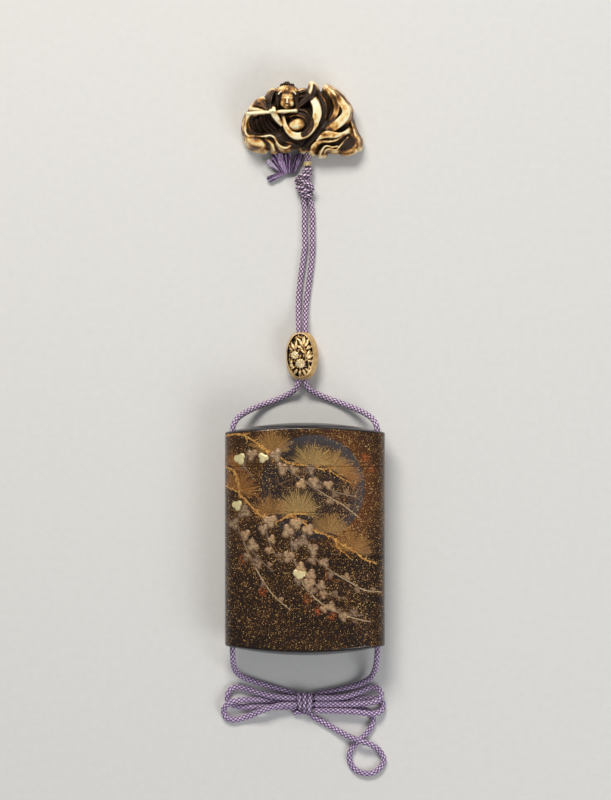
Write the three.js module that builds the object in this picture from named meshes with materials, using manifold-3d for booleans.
// An inro, the tiered lacquer case worn from a sash, with its bead, its carved toggle (netsuke)
// and the silk cord that joins them. Millimetres, +Z up. The set lies on its back: +Y runs from
// the bottom of the case to the toggle, and the decorated faces look up along +Z.

import * as THREE from 'three';
import { mergeVertices } from 'three/addons/utils/BufferGeometryUtils.js';
import { edgeTable, triTable } from 'three/addons/objects/MarchingCubes.js';
import Module from 'manifold-3d';

const wasm = await Module();
wasm.setup();

// ---- driving dimensions ----------------------------------------------------------------------

const CASE = {
  halfWidth: 30, halfDepth: 11.5, squareness: 2.5, // flattened oval section
  centreY: -64, sideHeight: 80, // straight height at the narrow sides
  riseWide: 3.6, riseDeep: 1.7, edgeRadius: 1.4, // crowned ends
  lidHeight: 12.8, tierHeight: 17, tiers: 4, // the lid's side, then each tier; the last takes the rest
  seam: 0.2, wall: 1.6, floor: 1.5, facets: 40,
};
const RISER = { height: 5, thickness: 0.9, clearance: 0.3, headroom: 0.4 };
const RECESS = { halfWidth: 24.8, halfDepth: CASE.halfDepth - CASE.wall, facets: 24 };
const CHANNEL = { x: 27.2, radius: 1.6, facets: 10 };
const CORD = { radius: 1.05, sides: 8 };
const BEAD = {
  x: -1.14, y: 4.65, halfWidth: 6.1, halfHeight: 9.25, halfDepth: 4.95, squareness: 2.3,
  wall: 1.1, strandOffset: 1.22, rest: 4.85,
};
const TOGGLE = { x: -1.1, y: 93.9, pitch: 1.7, blend: 0.7, back: 4.2, edge: 3.2 };
const LACQUER = { color: 0x2a1d14, roughness: 0.3, metalness: 0.1 };
const GOLD = { color: 0xc89b4a, roughness: 0.35, metalness: 0.9 };
const IVORY = { color: 0xdcb678, roughness: 0.4, metalness: 0 };
const SILK = { color: 0x7a5595, roughness: 0.8, metalness: 0 };

// ---- solids ----------------------------------------------------------------------------------

const part = new THREE.Group();

// A geometry whose shared vertices are merged and whose faces point out.
function closed(geometry) {
  geometry.deleteAttribute('normal');
  geometry.deleteAttribute('uv');
  const merged = mergeVertices(geometry, 1e-4);
  const index = merged.index.array;
  const position = merged.attributes.position;
  const corner = [0, 1, 2].map(() => new THREE.Vector3());
  let volume = 0;
  for (let i = 0; i < index.length; i += 3) {
    corner.forEach((point, k) => point.fromBufferAttribute(position, index[i + k]));
    volume += corner[0].dot(corner[1].clone().cross(corner[2])) / 6;
  }
  if (volume < 0) index.reverse();
  return merged;
}

function toManifold(geometry) {
  const merged = closed(geometry);
  return new wasm.Manifold(new wasm.Mesh({
    numProp: 3,
    vertProperties: new Float32Array(merged.attributes.position.array),
    triVerts: new Uint32Array(merged.index.array),
  }));
}

function toGeometry(solid) {
  const mesh = solid.getMesh();
  const geometry = new THREE.BufferGeometry();
  geometry.setAttribute('position', new THREE.BufferAttribute(mesh.vertProperties, 3));
  geometry.setIndex(new THREE.BufferAttribute(mesh.triVerts, 1));
  return geometry;
}

function add(name, geometry, finish, position = [0, 0, 0]) {
  const mesh = new THREE.Mesh(geometry, new THREE.MeshStandardMaterial(finish));
  mesh.name = name;
  mesh.position.set(...position);
  part.add(mesh);
}

// Points of a superellipse in X and Z. Half a step of turn leaves a flat facet at front and back.
function section(halfWidth, halfDepth, squareness, facets) {
  const power = (value) => Math.sign(value) * Math.abs(value) ** (2 / squareness);
  return Array.from({ length: facets }, (_, i) => {
    const turn = ((i + 0.5) * 2 * Math.PI) / facets;
    return [halfWidth * power(Math.cos(turn)), halfDepth * power(Math.sin(turn))];
  });
}

// A closed skin over rings of equal count. Each end closes on the middle of its last ring.
function loft(rings) {
  const count = rings[0].length;
  const points = rings.flat();
  const index = [];
  for (let r = 0; r + 1 < rings.length; r += 1) {
    for (let i = 0; i < count; i += 1) {
      const a = r * count + i;
      const b = r * count + ((i + 1) % count);
      index.push(a, b, a + count, b, b + count, a + count);
    }
  }
  for (const [ring, first] of [[0, 0], [rings.length - 1, (rings.length - 1) * count]]) {
    const middle = rings[ring].reduce((sum, p) => sum.map((v, k) => v + p[k] / count), [0, 0, 0]);
    const apex = points.push(middle) - 1;
    for (let i = 0; i < count; i += 1) {
      const a = first + i;
      const b = first + ((i + 1) % count);
      if (ring === 0) index.push(b, a, apex);
      else index.push(a, b, apex);
    }
  }
  const geometry = new THREE.BufferGeometry();
  geometry.setAttribute('position', new THREE.Float32BufferAttribute(points.flat(), 3));
  geometry.setIndex(index);
  return geometry;
}

// A straight prism along Y between two heights.
function prism(outline, low, high) {
  return loft([low, high].map((y) => outline.map(([x, z]) => [x, y, z])));
}

// ---- the lacquer case ------------------------------------------------------------------------

const caseOutline = section(CASE.halfWidth, CASE.halfDepth, CASE.squareness, CASE.facets);
const caseRest = Math.max(...caseOutline.map(([, z]) => z));
const sideTop = CASE.sideHeight / 2;

// How far the crowned end stands beyond the height of the narrow sides.
function crown(x, z) {
  return CASE.riseWide * (1 - (x / CASE.halfWidth) ** 2) - CASE.riseDeep * (z / CASE.halfDepth) ** 2;
}

// Rings that round an outline over into a crowned end, from its edge to the middle.
function crownedRings(outline, sign) {
  const steps = [[0, 1], [0.3, 0.3], [1, 0]];
  const rings = steps.map(([inset, drop]) => outline.map(([x, z]) => {
    const nx = x * (1 - (inset * CASE.edgeRadius) / CASE.halfWidth);
    const nz = z * (1 - (inset * CASE.edgeRadius) / CASE.halfDepth);
    return [nx, sign * (sideTop + crown(nx, nz) - drop * CASE.edgeRadius), nz];
  }));
  rings.push(outline.map(([x, z]) => [x / 2, sign * (sideTop + crown(x / 2, z / 2)), z / 2]));
  return rings;
}

function crownedHollow(outline, sign, mouth) {
  const inside = (scale) => outline.map(([x, z]) => [
    x * scale, sign * (sideTop + crown(x * scale, z * scale) - CASE.wall), z * scale]);
  return loft([outline.map(([x, z]) => [x, mouth, z]), inside(1), inside(0.5)]);
}

const recessOutline = section(RECESS.halfWidth, RECESS.halfDepth, CASE.squareness, RECESS.facets);
const riserOutline = section(RECESS.halfWidth - RISER.clearance, RECESS.halfDepth - RISER.clearance,
  CASE.squareness, RECESS.facets);
const innerOutline = section(
  RECESS.halfWidth - RISER.clearance - RISER.thickness,
  RECESS.halfDepth - RISER.clearance - RISER.thickness, CASE.squareness, RECESS.facets);

function cordChannel(side) {
  const bore = new THREE.CylinderGeometry(CHANNEL.radius, CHANNEL.radius, CASE.sideHeight + 20,
    CHANNEL.facets);
  return toManifold(bore.translate(side * CHANNEL.x, 0, 0));
}

// The lid and the tiers from top to bottom. Each has a skirt that drops over the riser below it.
function caseSegments() {
  const channels = cordChannel(-1).add(cordChannel(1));
  const seams = [sideTop - CASE.lidHeight];
  for (let i = 1; i < CASE.tiers; i += 1) seams.push(seams[0] - i * CASE.tierHeight);
  const skirt = RISER.height + RISER.headroom;
  for (let i = 0; i <= CASE.tiers; i += 1) {
    const isLid = i === 0;
    const isLast = i === CASE.tiers;
    const top = isLid ? null : seams[i - 1] - CASE.seam / 2;
    const bottom = isLast ? null : seams[i] + CASE.seam / 2;
    const topRings = isLid
      ? crownedRings(caseOutline, 1) : [caseOutline.map(([x, z]) => [x, top, z])];
    const bottomRings = isLast
      ? crownedRings(caseOutline, -1).reverse() : [caseOutline.map(([x, z]) => [x, bottom, z])];
    let solid = toManifold(loft([...bottomRings, ...topRings]));
    if (isLid) {
      solid = solid.subtract(toManifold(crownedHollow(recessOutline, 1, bottom - 1)));
    } else {
      const lip = top + RISER.height;
      solid = solid.add(toManifold(prism(riserOutline, top - 1, lip)));
      if (isLast) {
        solid = solid.subtract(toManifold(crownedHollow(innerOutline, -1, lip + 1)));
      } else {
        const floorTop = bottom + skirt + CASE.floor;
        solid = solid.subtract(toManifold(prism(recessOutline, bottom - 1, bottom + skirt)));
        solid = solid.subtract(toManifold(prism(innerOutline, floorTop, lip + 1)));
      }
    }
    solid = solid.subtract(channels);
    const name = isLid ? 'lid' : `tier_${i}`;
    add(name, toGeometry(solid), LACQUER, [0, CASE.centreY, caseRest]);
  }
}

// ---- the pierced bead ------------------------------------------------------------------------

function ovoid(shrink, rings, facets) {
  const stations = Array.from({ length: rings }, (_, k) => Math.PI * ((k + 0.5) / rings - 0.5));
  return loft(stations.map((angle) => {
    const size = Math.cos(angle) ** 0.8;
    const outline = section(BEAD.halfWidth - shrink, BEAD.halfDepth - shrink, BEAD.squareness, facets);
    return outline.map(([x, z]) => [x * size, (BEAD.halfHeight - shrink) * Math.sin(angle), z * size]);
  }));
}

// Openings of the pierced panel: rings of holes about two flower heads, and a fan between leaves.
function piercings() {
  const holes = [];
  const flowers = [{ x: -2.5, y: 0.6, reach: 1.9, holes: 5 }, { x: -0.6, y: -2.9, reach: 2.2, holes: 6 }];
  for (const flower of flowers) {
    for (let i = 0; i < flower.holes; i += 1) {
      const turn = (2 * Math.PI * (i + 0.25)) / flower.holes;
      holes.push([flower.x + flower.reach * Math.cos(turn), flower.y + flower.reach * Math.sin(turn)]);
    }
  }
  for (let i = 0; i < 5; i += 1) {
    const turn = Math.PI * (0.06 + 0.17 * i);
    holes.push([0.4 + 2.6 * Math.cos(turn), 2.0 + 3.4 * Math.sin(turn)]);
  }
  const clear = holes.filter((hole, i) => holes.slice(0, i).every(
    (other) => Math.hypot(hole[0] - other[0], hole[1] - other[1]) > 1.9));
  return clear.map(([x, y]) => {
    const drill = new THREE.CylinderGeometry(0.6, 0.6, 4 * BEAD.halfDepth, 5);
    return toManifold(drill.rotateX(Math.PI / 2).translate(x, y, 0));
  });
}

function bead() {
  let solid = toManifold(ovoid(0, 7, 14)).subtract(toManifold(ovoid(BEAD.wall, 5, 10)));
  const tunnel = section(BEAD.strandOffset + CORD.radius + 0.35, CORD.radius + 0.35, 2.6, 10);
  solid = solid.subtract(toManifold(prism(tunnel, -2 * BEAD.halfHeight, 2 * BEAD.halfHeight)));
  for (const hole of piercings()) solid = solid.subtract(hole);
  const floor = new THREE.BoxGeometry(40, 40, 20).translate(0, 0, -BEAD.rest - 10);
  solid = solid.subtract(toManifold(floor));
  add('bead', toGeometry(solid), GOLD, [BEAD.x, BEAD.y, BEAD.rest]);
}

// ---- the carved toggle -----------------------------------------------------------------------

// Its outline seen from the front, about its own middle.
const TOGGLE_OUTLINE = [
  [-22.4, -2.6], [-21.4, 0.4], [-17.6, 5.3], [-14.5, 7.7], [-12.6, 8.4], [-10.8, 11.6],
  [-5.9, 13.4], [-1.2, 11.6], [1.4, 8.4], [4.6, 9.2], [7.5, 8.9], [9.6, 10.2], [12.4, 10.4],
  [14.6, 8.2], [17.3, 3.6], [18.2, 0.2], [20.6, -5.1], [22.4, -10.6], [20.5, -12.7], [15.8, -14.1],
  [6.6, -13.6], [-1.7, -12.6], [-9.3, -11.9], [-13.9, -12], [-18.8, -11], [-21.4, -6.9],
];

// Raised folds: the line of each crest as [x, y, half width, height], with the foot it rises from.
const FOLDS = [
  { foot: 4, crest: [ // the scarf that loops under the figure's chest
    [4.6, 6.9, 1.1, 13], [5.8, 4.4, 1.4, 14], [6.2, 1.3, 1.7, 14.2], [5.4, -2.3, 1.6, 13.8],
    [3.6, -5.4, 1.5, 13.2], [1.1, -7.4, 1.3, 12.8], [-1.3, -8, 1.2, 12.6], [-3.9, -7.1, 1.2, 12.6],
    [-5.6, -5.4, 1.1, 12.6], [-6.6, -2.9, 0.9, 12.4], [-7.2, 0, 0.8, 12.2]] },
  { foot: 6, crest: [ // its free end curling past the head
    [-2.4, 3.3, 0.8, 11.5], [-0.9, 5.2, 0.9, 12], [1.4, 7, 1, 12], [3.4, 8.5, 1.1, 11.4],
    [4.5, 10.2, 0.9, 10.6], [3.8, 12, 0.7, 9.8]] },
  { foot: 2, crest: [ // inner petal of drapery
    [6.6, 8.1, 1, 9], [8, 5.6, 1, 10.5], [8.4, 2.9, 1, 11], [8, 0.1, 1, 10.8], [6.9, -2.3, 0.9, 10]] },
  { foot: 2, crest: [ // inner lip of the great right-hand petal
    [8.8, 11.2, 0.8, 11], [10.6, 9.2, 1, 12.4], [12.4, 6.6, 1.1, 12.8], [12.9, 3.8, 1.1, 12.4],
    [12.1, 1, 1.1, 11.8], [10, -1.7, 1, 11.2], [7.7, -4.2, 1, 10.6]] },
  { foot: 2, crest: [ // outer lip of the same petal
    [12, 10.6, 0.9, 11.4], [13.8, 8.2, 1.3, 12], [15.6, 5.2, 1.6, 12.2], [16.8, 2.6, 1.6, 12],
    [16.5, 0.4, 1.4, 12], [14.7, -1.4, 1.3, 11.8], [12.1, -3.4, 1.2, 11.4]] },
  { foot: 1.5, crest: [ // hem down the right edge
    [17.9, -0.2, 0.9, 7], [19.2, -2.9, 1, 7.6], [20.1, -5.7, 1, 7.8], [21.2, -8.4, 1, 7.2],
    [21.4, -10.8, 0.9, 6]] },
  { foot: 2, crest: [ // ruffled hems at the lower right
    [3.6, -12.4, 0.9, 8.6], [4.3, -10.9, 1.1, 10], [5.8, -9.4, 1.1, 10.8], [7.8, -8.8, 0.9, 11],
    [10.3, -8.8, 0.8, 11], [12.7, -8.3, 0.8, 10.8], [14.9, -6.9, 0.7, 10.4], [17, -5.4, 0.7, 9.8]] },
  { foot: 4, crest: [
    [6.6, -7.2, 0.8, 11.4], [8.4, -6.2, 1, 12], [10.3, -5.9, 1.1, 12.2], [12.4, -6.4, 1, 12],
    [14.3, -6, 0.8, 11.6], [17, -4.6, 0.6, 10.8]] },
  { foot: 2, crest: [
    [7.4, -12.8, 0.7, 8.2], [8.8, -11.2, 0.8, 9], [11, -11.2, 0.8, 9.2], [13, -11.4, 0.7, 9],
    [14.8, -9.9, 0.7, 8.8], [17.2, -7.2, 0.7, 8.4]] },
  { foot: 3, crest: [ // long fold from the middle to the lower edge
    [8.9, -1.4, 0.8, 10], [6.6, -4.2, 0.9, 10.4], [4.2, -7.1, 0.9, 10], [2, -9.5, 0.9, 9.2],
    [0.5, -11.1, 0.8, 8]] },
  { foot: 1.5, crest: [ // rim of the left-hand fold
    [-20.2, 1.2, 0.8, 10], [-21.2, -0.8, 0.8, 9.6], [-21.6, -2.9, 0.8, 9.2], [-21.4, -5.4, 0.8, 8.8],
    [-20.4, -7.1, 0.9, 9], [-17.9, -6.8, 0.8, 10], [-15, -6.9, 0.8, 10.2], [-13.3, -6.7, 0.7, 10.6],
    [-11.8, -6.6, 0.7, 10.8], [-10.4, -7.4, 0.7, 10.6], [-8.9, -10, 0.7, 9.8], [-6.9, -11, 0.7, 9.2],
    [-5.2, -10.9, 0.7, 9], [-3.9, -9.6, 0.7, 9.4]] },
  { foot: 2, crest: [
    [-13.6, -7.9, 0.8, 8.8], [-12, -8.8, 0.8, 8.6], [-11, -10.2, 0.8, 8.2], [-10.6, -11.4, 0.7, 7.4]] },
  { foot: 5, crest: [ // sleeve folds drawn together at the left hand
    [-13.4, 2.2, 0.8, 12.8], [-15.8, 3.3, 0.9, 12], [-18.4, 4.2, 0.8, 10.4]] },
  { foot: 5, crest: [[-13.4, 2.8, 0.8, 12.6], [-14.8, 4.6, 0.8, 11.6], [-15.6, 6.4, 1.2, 10.4]] },
  { foot: 9, crest: [ // right hand and forearm
    [-11.2, 3.2, 1.2, 15.2], [-10.3, 1.2, 1.1, 14.6], [-9.1, -0.5, 1, 13.4], [-7.5, -2.3, 0.8, 12.2]] },
  { foot: 4, crest: [[-11.2, 10, 0.9, 10.6], [-12, 8, 0.9, 11], [-12.2, 5.9, 0.8, 11], [-12, 4, 0.7, 10.8]] },
  { foot: 13, crest: [[-20.3, 1.6, 0.75, 14.6], [-2.3, 2.6, 0.75, 15.2]] }, // the flute
];

// Rounded masses as centre, radii and turn in the plane of the face, in degrees.
const MASSES = [
  { at: [-5.6, 7.3, 10.4], radii: [3.8, 4.8, 4.2], turn: 0 }, // head
  { at: [-5.6, 8.9, 8.8], radii: [5, 4.4, 4.6], turn: 0 }, // hair
  { at: [-5.6, 12, 10.4], radii: [1.3, 1.4, 1.6], turn: 0 }, // topknot
  { at: [-1.7, -2.3, 8.2], radii: [3.2, 3.2, 5], turn: 0 }, // gathered robe in the scarf's loop
  { at: [-8.7, -7.3, 6], radii: [3, 2.5, 4], turn: -20 }, // knee
  { at: [-17.4, -9, 5.8], radii: [3.9, 2.2, 3.4], turn: -25 }, // lower left lobe
  { at: [17.2, -12, 4.4], radii: [3.8, 1.9, 3.2], turn: 10 }, // lower right lobe
  { at: [14.6, 4.4, 7.4], radii: [2.8, 6.4, 4.2], turn: 22 }, // great petal's face
  { at: [13.4, -1.4, 8], radii: [4, 2, 3.4], turn: 40 },
  { at: [10.9, -7.3, 7.6], radii: [4, 1.5, 3.2], turn: 5 },
  { at: [16.2, -9, 5.6], radii: [3.4, 3.2, 2.8], turn: 0 },
  { at: [-14.9, 6.6, 9.4], radii: [1.5, 1.5, 1.6], turn: 0 }, // wrist in its cuff
  { at: [-0.3, -11.4, 7.6], radii: [1.2, 0.8, 1.2], turn: -20 },
];

const HOLLOWS = [
  { at: [-13.8, -2.4, 9.4], radii: [5.6, 3.6, 6.2], turn: 0 }, // inside the left-hand fold
  { at: [10.1, 3.6, 9.6], radii: [1.6, 3.8, 6.2], turn: -6 }, // between the petals
  { at: [-5.2, 0.4, 9.4], radii: [2.2, 1.6, 4.4], turn: 0 }, // under the chin
  { at: [-1.2, -2, 9.6], radii: [5.2, 5.2, 5], turn: 0 }, // inside the scarf's loop
  { at: [2.4, 6.8, 9.6], radii: [1.6, 2.4, 4], turn: 0 },
];

// The cord hole: in at the lower edge and out through the back.
const CORD_HOLE = { x: 2.7, z: 3.3, radius: 1.75, depth: 5 };

function outlineDistance(x, y) {
  let nearest = Infinity;
  let inside = false;
  TOGGLE_OUTLINE.forEach(([ax, ay], i) => {
    const [bx, by] = TOGGLE_OUTLINE[(i + 1) % TOGGLE_OUTLINE.length];
    const along = ((x - ax) * (bx - ax) + (y - ay) * (by - ay)) / ((bx - ax) ** 2 + (by - ay) ** 2);
    const t = THREE.MathUtils.clamp(along, 0, 1);
    nearest = Math.min(nearest, Math.hypot(x - ax - t * (bx - ax), y - ay - t * (by - ay)));
    if ((ay > y) !== (by > y) && x < ax + ((y - ay) * (bx - ax)) / (by - ay)) inside = !inside;
  });
  return inside ? -nearest : nearest;
}

function slabDistance(x, y, z) {
  const across = Math.max(outlineDistance(x, y) + TOGGLE.edge, 0);
  const up = Math.max(Math.abs(z - TOGGLE.back) - (TOGGLE.back - TOGGLE.edge), 0);
  return Math.hypot(across, up) - TOGGLE.edge;
}

function massDistance({ at, radii, turn }, x, y, z) {
  const c = Math.cos(THREE.MathUtils.degToRad(turn));
  const s = Math.sin(THREE.MathUtils.degToRad(turn));
  const local = [(x - at[0]) * c + (y - at[1]) * s, (y - at[1]) * c - (x - at[0]) * s, z - at[2]];
  const near = Math.hypot(...local.map((v, k) => v / radii[k]));
  const slope = Math.hypot(...local.map((v, k) => v / radii[k] ** 2));
  return slope === 0 ? -Math.min(...radii) : (near * (near - 1)) / slope;
}

function foldDistance({ foot, crest }, x, y, z) {
  let nearest = Infinity;
  for (let i = 0; i + 1 < crest.length; i += 1) {
    const [ax, ay, aw, ah] = crest[i];
    const [bx, by, bw, bh] = crest[i + 1];
    const along = ((x - ax) * (bx - ax) + (y - ay) * (by - ay)) / ((bx - ax) ** 2 + (by - ay) ** 2);
    const t = THREE.MathUtils.clamp(along, 0, 1);
    const width = aw + t * (bw - aw);
    const height = ah + t * (bh - ah);
    const across = Math.hypot(x - ax - t * (bx - ax), y - ay - t * (by - ay));
    const up = z - THREE.MathUtils.clamp(z, foot + width, Math.max(height - width, foot + width));
    nearest = Math.min(nearest, Math.hypot(across, up) - width);
  }
  return nearest;
}

function blendMin(a, b, reach) {
  const h = THREE.MathUtils.clamp(0.5 + (0.5 * (b - a)) / reach, 0, 1);
  return b + h * (a - b) - reach * h * (1 - h);
}

function toggleDistance(x, y, z) {
  let distance = slabDistance(x, y, z);
  for (const hollow of HOLLOWS) {
    distance = -blendMin(-distance, massDistance(hollow, x, y, z), TOGGLE.blend);
  }
  for (const mass of MASSES) distance = blendMin(distance, massDistance(mass, x, y, z), TOGGLE.blend);
  for (const fold of FOLDS) distance = blendMin(distance, foldDistance(fold, x, y, z), TOGGLE.blend);
  return distance;
}

// Edge i of a grid cell as its two corners, and the corners as steps in X, Y and Z.
const CELL_CORNERS = [
  [0, 0, 0], [1, 0, 0], [1, 1, 0], [0, 1, 0], [0, 0, 1], [1, 0, 1], [1, 1, 1], [0, 1, 1]];
const CELL_EDGES = [
  [0, 1], [1, 2], [3, 2], [0, 3], [4, 5], [5, 6], [7, 6], [4, 7], [0, 4], [1, 5], [2, 6], [3, 7]];

// The surface where a distance field is zero, as triangles over a grid of the given pitch.
function polygonize(field, low, high, pitch) {
  const size = low.map((value, k) => Math.ceil((high[k] - value) / pitch) + 1);
  const at = (i, j, k) => (k * size[1] + j) * size[0] + i;
  const values = new Float64Array(size[0] * size[1] * size[2]);
  for (let k = 0; k < size[2]; k += 1) {
    for (let j = 0; j < size[1]; j += 1) {
      for (let i = 0; i < size[0]; i += 1) {
        values[at(i, j, k)] = field(low[0] + i * pitch, low[1] + j * pitch, low[2] + k * pitch);
      }
    }
  }
  const points = [];
  const index = [];
  const known = new Map();
  const crossing = (cell, edge) => {
    const ends = CELL_EDGES[edge].map((c) => CELL_CORNERS[c].map((step, k) => cell[k] + step));
    const key = ends.map((end) => at(...end)).join('_');
    if (!known.has(key)) {
      const [a, b] = ends.map((end) => values[at(...end)]);
      const t = THREE.MathUtils.clamp(a / (a - b), 0.1, 0.9);
      known.set(key, points.push(low.map(
        (value, k) => value + (ends[0][k] + t * (ends[1][k] - ends[0][k])) * pitch)) - 1);
    }
    return known.get(key);
  };
  for (let k = 0; k + 1 < size[2]; k += 1) {
    for (let j = 0; j + 1 < size[1]; j += 1) {
      for (let i = 0; i + 1 < size[0]; i += 1) {
        let kind = 0;
        CELL_CORNERS.forEach(([x, y, z], c) => {
          if (values[at(i + x, j + y, k + z)] < 0) kind |= 1 << c;
        });
        if (edgeTable[kind] === 0) continue;
        for (let t = kind * 16; triTable[t] !== -1; t += 3) {
          for (let c = 0; c < 3; c += 1) index.push(crossing([i, j, k], triTable[t + c]));
        }
      }
    }
  }
  const geometry = new THREE.BufferGeometry();
  geometry.setAttribute('position', new THREE.Float32BufferAttribute(points.flat(), 3));
  geometry.setIndex(index);
  return geometry;
}

function toggle() {
  const low = [-24.4, -16.2, -2];
  const high = [24.4, 15.8, 17];
  let solid = toManifold(polygonize(toggleDistance, low, high, TOGGLE.pitch));
  solid = solid.subtract(toManifold(new THREE.BoxGeometry(60, 60, 20).translate(0, 0, -10)));
  const { x, z, radius, depth } = CORD_HOLE;
  const mouth = new THREE.CylinderGeometry(radius, radius, 2 * depth, 10);
  const exit = new THREE.CylinderGeometry(radius, radius, 2 * z, 10).rotateX(Math.PI / 2);
  solid = solid.subtract(toManifold(mouth.translate(x, -13.5, z)));
  solid = solid.subtract(toManifold(exit.translate(x, -13.5 + depth - radius, 0)));
  const pieces = solid.decompose().sort((a, b) => b.volume() - a.volume());
  add('netsuke', toGeometry(pieces[0]), IVORY, [TOGGLE.x, TOGGLE.y, 0]);
}

// ---- the silk cord ---------------------------------------------------------------------------

// Sections stand at the route's own points, so that they are close together in the bends.
class Route extends THREE.CatmullRomCurve3 {
  getPointAt(u, target) {
    return this.getPoint(u, target);
  }

  getTangentAt(u, target) {
    return this.getTangent(u, target);
  }
}

function tube(points, radius = CORD.radius) {
  const route = new Route(points.map((point) => new THREE.Vector3(...point)), false, 'centripetal');
  const ring = new THREE.Shape(Array.from({ length: CORD.sides }, (_, i) => {
    const turn = (2 * Math.PI * (i + 0.5)) / CORD.sides;
    return new THREE.Vector2(radius * Math.cos(turn), radius * Math.sin(turn));
  }));
  const geometry = new THREE.ExtrudeGeometry(ring, {
    steps: points.length - 1, bevelEnabled: false, extrudePath: route });
  return closed(geometry);
}

const strand = BEAD.strandOffset;

// Each side strand runs from the knot under the toggle, through the bead and down a case channel,
// to the bow below the case.
const CORD_ROUTES = {
  cord_left: [
    [-0.6, 63.3, 2], [-0.1, 60, 1.3], [-0.2, 52.6, 1.1], [0, 46.6, 1.1], [-1.2, 37.2, 1.1],
    [-2.2, 28.6, 1.1], [-2.5, 22, 1.8], [BEAD.x - strand, 17, 3.8],
    [BEAD.x - strand, 13, BEAD.rest], [BEAD.x - strand, 4.4, BEAD.rest],
    [BEAD.x - strand, -4.4, BEAD.rest], [-3.3, -7.4, 3.8],
    [-6, -9.6, 2], [-10.6, -11.8, 1.1], [-15.5, -13.5, 2], [-20, -15.4, 4.4],
    [-23.5, -17.3, 7.3], [-25.8, -19.3, 9.7], [-26.9, -21.6, 11.1], [-CHANNEL.x, -24.2, caseRest],
    [-CHANNEL.x, -104, caseRest], [-27.1, -107.4, 11], [-26.9, -110.4, 8.9],
    [-26.3, -113, 6], [-24.8, -115.1, 3.4], [-22, -116.8, 1.7], [-17.6, -118.3, 1.1],
    [-11.2, -120.3, 1.1], [-3, -122.7, 1.1]],
  cord_right: [
    [1.9, 63.3, 2], [2.6, 59.7, 1.3], [2.8, 52.6, 1.1], [2.8, 44.3, 1.1], [1.8, 34.6, 1.1],
    [0.7, 26.4, 1.2], [0.2, 21.4, 2], [BEAD.x + strand, 17, 3.8],
    [BEAD.x + strand, 13, BEAD.rest], [BEAD.x + strand, 4.4, BEAD.rest],
    [BEAD.x + strand, -4.4, BEAD.rest], [1.2, -7.4, 3.8],
    [4.2, -9.4, 2], [9, -11.5, 1.1], [14.6, -13.5, 2], [19.4, -15.4, 4.4],
    [23.1, -17.3, 7.3], [25.6, -19.3, 9.7], [26.8, -21.6, 11.1], [CHANNEL.x, -24.2, caseRest],
    [CHANNEL.x, -104, caseRest], [27.1, -107.4, 11], [26.8, -110.6, 9],
    [26.2, -113.4, 6.5], [24.9, -116, 4], [22.2, -118, 2.4], [18.4, -119.6, 1.5],
    [12, -121.2, 1.1], [3.3, -122.8, 1.1]],
  bow_loop_left_upper: [
    [-2.8, -124, 3.3], [-8.5, -123.8, 3.2], [-14, -123, 2.7], [-18.8, -121.7, 1.7],
    [-23, -120.4, 1.1], [-26, -120.1, 1.1], [-28.4, -121.4, 1.1], [-29.2, -123.8, 1.1],
    [-28.1, -126, 1.1], [-25.4, -127.2, 1.1], [-21.6, -127.5, 1.1], [-17, -127.6, 1.1],
    [-12, -127.6, 1.1], [-7.4, -127.6, 1.1], [-2.8, -127.6, 1.1]],
  bow_loop_left_lower: [
    [-2.8, -125.2, 1.1], [-7.6, -125.2, 1.1], [-12.8, -125.1, 1.1], [-18.4, -124.8, 1.5],
    [-23.4, -124.8, 3.2], [-26.8, -125.3, 3.8], [-29.4, -126.6, 3.1], [-30.6, -129, 1.9],
    [-29.6, -131.4, 1.2], [-27.2, -132.3, 1.1], [-23.6, -131.7, 1.1], [-19.6, -130.3, 2.2],
    [-16.2, -128.8, 3.5], [-9.6, -126.8, 3.5], [-2.8, -126.4, 3.3]],
  bow_loop_right_upper: [
    [3.2, -124, 3.3], [9.4, -124, 3.3], [14.4, -123.6, 3.2], [19, -122.4, 2.1],
    [22.4, -121, 1.3], [25, -120.1, 1.3], [27.3, -120.5, 2], [28.6, -122.3, 3],
    [27.9, -124.4, 3.7], [25.2, -125.7, 3.7], [20.4, -126.2, 3.5], [16.4, -126.4, 3.4],
    [12, -126.4, 3.4], [7.6, -126.4, 3.3], [3.2, -126.4, 3.3]],
  bow_loop_right_lower: [
    [3.2, -125.2, 1.1], [8, -125.2, 1.1], [12.6, -125.2, 1.1], [17, -125, 1.1],
    [21.2, -124.6, 1.1], [24.8, -124.2, 1.1], [27.5, -124.6, 1.1], [29.2, -126.1, 1.1],
    [29.1, -128.3, 1.5], [27.2, -129.7, 2.8], [24.2, -129.9, 3.7], [18.6, -129.2, 3.5],
    [13.4, -128.9, 3.4], [8, -128.8, 3.3], [3.2, -128.8, 3.3]],
  bow_tail: [
    [2.6, -130.9, 1.1], [6.4, -133, 1.1], [10.6, -135.4, 1.2], [14.6, -137.6, 2.1],
    [18.2, -139.2, 3.4], [21.8, -140.5, 3.8], [25.4, -141.9, 2.8], [28.2, -144.2, 1.4],
    [29.6, -147.2, 1.1], [28.4, -150.3, 1.1], [25.6, -152.3, 1.1], [22.2, -152.5, 1.1],
    [19.1, -151.2, 1.1], [17.1, -148.4, 1.1], [16.9, -145, 1.1], [18.5, -142.1, 1.1],
    [21.2, -139.5, 1.1], [23.9, -136.5, 1.1], [25.6, -133.4, 1.1], [25.2, -130.6, 1.1],
    [22.8, -128.6, 1.1], [18.6, -127.9, 1.1], [13, -127.7, 1.1], [8, -127.6, 1.1],
    [3.2, -127.6, 1.1]],
};

// An ellipsoid of one wrap of cord, turned in the plane of the floor.
function wrap(x, y, z, radii, degrees) {
  const ball = new THREE.SphereGeometry(1, 8, 5).scale(...radii);
  return toManifold(ball.rotateZ(THREE.MathUtils.degToRad(degrees)).translate(x, y, z));
}

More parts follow.
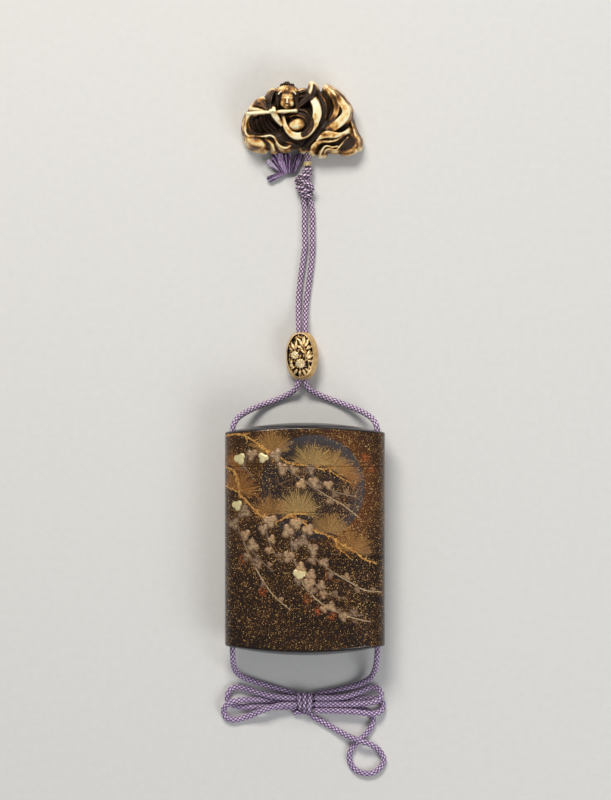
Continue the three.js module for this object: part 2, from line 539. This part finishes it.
function knots() {
  const sashKnot = wrap(1.1, 73.7, 2.9, [2.1, 1.6, 2.4], 25)
    .add(wrap(-0.7, 70.6, 2.9, [3.3, 2, 2.8], 22))
    .add(wrap(-0.4, 67.9, 2.9, [3.1, 2, 2.7], 22))
    .add(wrap(0.7, 65.6, 2.6, [2.1, 1.9, 2.2], 10));
  add('netsuke_knot', toGeometry(sashKnot), SILK);
  const bowKnot = wrap(0.2, -125.7, 2.95, [2.5, 4.1, 2.8], 0)
    .add(wrap(-1.2, -129.2, 1.6, [3.6, 1.1, 1.3], 8));
  add('bow_knot', toGeometry(bowKnot), SILK);
}

function binding() {
  const ring = [[1.4, -0.7], [1.75, -0.45], [1.75, 0.45], [1.4, 0.7], [1.4, -0.7]];
  const profile = ring.map(([radius, height]) => new THREE.Vector2(radius, height));
  add('binding_ring', closed(new THREE.LatheGeometry(profile, 12)), GOLD, [1, 77, 2.9]);
  const neck = [[1, 76, 2.9], [1, 78, 2.9], [1.3, 80.4, 3.1], [1.6, 83.4, 3.3]];
  add('cord_neck', tube(neck), SILK);
}

// The gathered silk tie behind the toggle: two fans from one pinch, and a trailing end.
function silkTuft() {
  const outline = [
    [-12.6, 80.4], [-8.8, 80.8], [-4.8, 80.4], [-4.8, 76.6], [-3.8, 76.8], [-3.2, 80.2],
    [-0.4, 80.2], [-1.6, 77.2], [-2.6, 74.6], [-3.9, 73.4], [-7.4, 73.6], [-9.5, 72.7],
    [-13.9, 70.5], [-14.3, 71.3], [-11.9, 73.6], [-12.2, 76], [-13.7, 77.2], [-13.3, 78.2],
    [-11.4, 78.2]];
  const shape = new THREE.Shape(outline.map(([x, y]) => new THREE.Vector2(x, y)));
  const geometry = new THREE.ExtrudeGeometry(shape, { depth: 1.8, bevelEnabled: false });
  add('silk_tuft', closed(geometry), SILK, [0, 0, 1]);
}

caseSegments();
bead();
toggle();
for (const [name, points] of Object.entries(CORD_ROUTES)) add(name, tube(points), SILK);
knots();
binding();
silkTuft();

export default part;
